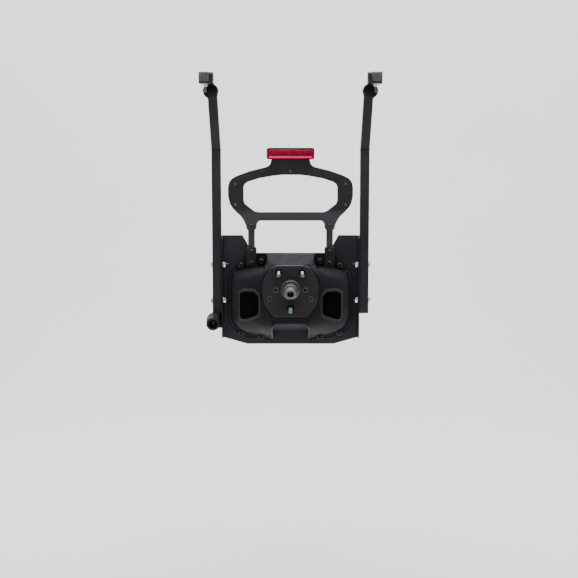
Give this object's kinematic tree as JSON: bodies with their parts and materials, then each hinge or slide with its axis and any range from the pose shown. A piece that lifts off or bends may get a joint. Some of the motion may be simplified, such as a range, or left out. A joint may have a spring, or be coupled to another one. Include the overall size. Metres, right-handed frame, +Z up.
{
  "type": "spare tire carrier",
  "caption": "Tailgate spare wheel carrier: domed casting with studded wheel disc and camera hub, bent side legs that clamp to a roof rack bar, and a sliding brake light hoop.",
  "frame": {"origin": "on the wheel's axis, in the face of the plate that bolts to the tailgate", "axes": "+Z up, +Y into the vehicle, +X to the right when one stands behind the vehicle"},
  "size_m": [0.58, 0.336, 0.8969],
  "materials": {
    "cast_black": "satin black coat on a casting",
    "plate_black": "satin powder coat",
    "leg_black": "textured powder coat",
    "bracket_black": "grained matte",
    "zinc_steel": "bright zinc plating",
    "dark_steel": "dark plating",
    "clamp_grey": "grainy cast surface",
    "tube_grey": "satin",
    "camera_black": "gloss",
    "lens_red": "clear gloss red",
    "stop_rubber": "matte"
  },
  "bodies": {
    "carrier": {"arm_socket_left": "leg_black", "arm_socket_right": "leg_black", "camera_module": "camera_black", "camera_tube": "tube_grey", "carrier_casting": "cast_black", "casting_bolt_lower_inner_left": "dark_steel", "casting_bolt_lower_inner_right": "dark_steel", "casting_bolt_lower_outer_left": "dark_steel", "casting_bolt_lower_outer_right": "dark_steel", "casting_bolt_upper_inner_left": "dark_steel", "casting_bolt_upper_inner_right": "dark_steel", "casting_bolt_upper_outer_left": "dark_steel", "casting_bolt_upper_outer_right": "dark_steel", "clamp_cradle_left": "leg_black", "clamp_cradle_right": "leg_black", "clamp_nut_left": "zinc_steel", "clamp_nut_right": "zinc_steel", "clamp_washer_left": "zinc_steel", "clamp_washer_right": "zinc_steel", "hub_ring": "cast_black", "hub_sleeve": "cast_black", "leg_bolt_lower_left": "zinc_steel", "leg_bolt_lower_right": "zinc_steel", "leg_bolt_upper_left": "zinc_steel", "leg_bolt_upper_right": "zinc_steel", "leg_collar_left": "leg_black", "leg_collar_right": "leg_black", "leg_lower_left": "leg_black", "leg_lower_right": "leg_black", "leg_nut_lower_left": "zinc_steel", "leg_nut_lower_right": "zinc_steel", "leg_nut_upper_left": "zinc_steel", "leg_nut_upper_right": "zinc_steel", "leg_upper_left": "leg_black", "leg_upper_right": "leg_black", "socket_bolt_lower_left": "dark_steel", "socket_bolt_lower_right": "dark_steel", "socket_bolt_upper_left": "dark_steel", "socket_bolt_upper_right": "dark_steel", "tailgate_plate": "plate_black", "tyre_stop_bumper": "stop_rubber", "tyre_stop_tab": "plate_black", "wheel_disc": "cast_black", "wheel_stud_bottom": "zinc_steel", "wheel_stud_top_left": "zinc_steel", "wheel_stud_top_right": "zinc_steel"},
    "light_bracket": {"hoop_frame": "bracket_black", "light_arm_left": "bracket_black", "light_arm_right": "bracket_black", "foot_bolt_left": "dark_steel", "foot_bolt_right": "dark_steel", "lamp_housing": "camera_black", "lamp_lens": "lens_red"},
    "clamp_left": {"clamp_saddle_left": "clamp_grey", "clamp_stud_left": "zinc_steel"},
    "clamp_right": {"clamp_saddle_right": "clamp_grey", "clamp_stud_right": "zinc_steel"}
  },
  "joints": [
    {"name": "light_bracket_height", "type": "slide", "parent": "carrier", "child": "light_bracket", "axis": [0, 0, 1], "range_m": [0, 0.038]},
    {"name": "clamp_lift_left", "type": "slide", "parent": "carrier", "child": "clamp_left", "axis": [0, 0, 1], "range_m": [0, 0.012]},
    {"name": "clamp_lift_right", "type": "slide", "parent": "carrier", "child": "clamp_right", "axis": [0, 0, 1], "range_m": [0, 0.012]}
  ]
}
